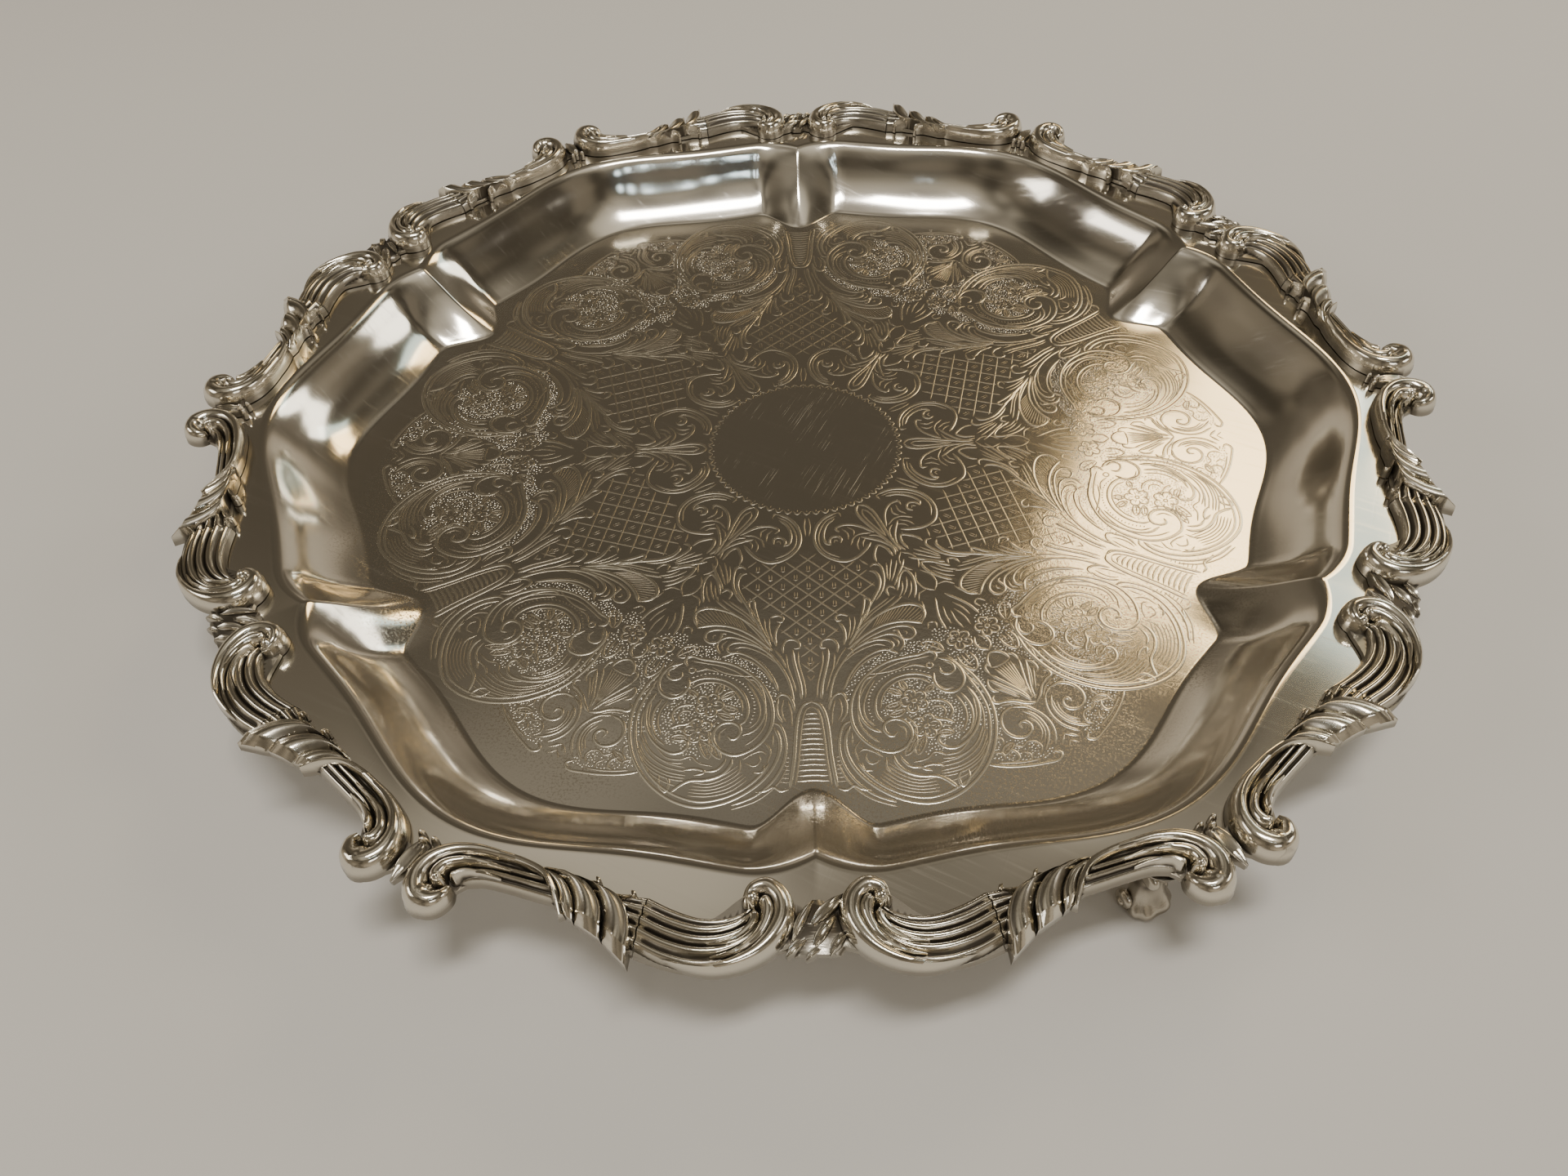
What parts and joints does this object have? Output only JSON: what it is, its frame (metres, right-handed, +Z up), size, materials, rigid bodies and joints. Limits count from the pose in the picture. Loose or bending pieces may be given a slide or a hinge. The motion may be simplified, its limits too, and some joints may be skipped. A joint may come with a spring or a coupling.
{
  "type": "silver salver",
  "caption": "Round dished serving salver in silver plate, with a pleated wall, a cast scroll and leaf border, and small cast scroll feet.",
  "frame": {"origin": "on the table, under the middle of the tray: the bottom centre of the bounding box", "axes": "+Z up; one of the six pleats faces -Y, and two opposite outer scroll pairs lie along the X axis"},
  "size_m": [0.3796, 0.3656, 0.0354],
  "materials": {
    "polished_silver_plate": "polished and chased silver plate, lightly tarnished",
    "cast_silver_border": "polished cast relief with dark oxidised recesses",
    "cast_silver_foot": "cast, tarnished"
  },
  "bodies": {
    "root": {"tray_body": "polished_silver_plate", "border_shell_scroll_1": "cast_silver_border", "border_shell_scroll_2": "cast_silver_border", "border_shell_scroll_3": "cast_silver_border", "border_shell_scroll_4": "cast_silver_border", "border_shell_scroll_5": "cast_silver_border", "border_shell_scroll_6": "cast_silver_border", "border_leaf_scroll_1": "cast_silver_border", "border_leaf_scroll_2": "cast_silver_border", "border_leaf_scroll_3": "cast_silver_border", "border_leaf_scroll_4": "cast_silver_border", "border_leaf_scroll_5": "cast_silver_border", "border_leaf_scroll_6": "cast_silver_border", "foot_1": "cast_silver_foot", "foot_2": "cast_silver_foot", "foot_3": "cast_silver_foot"}
  },
  "joints": []
}
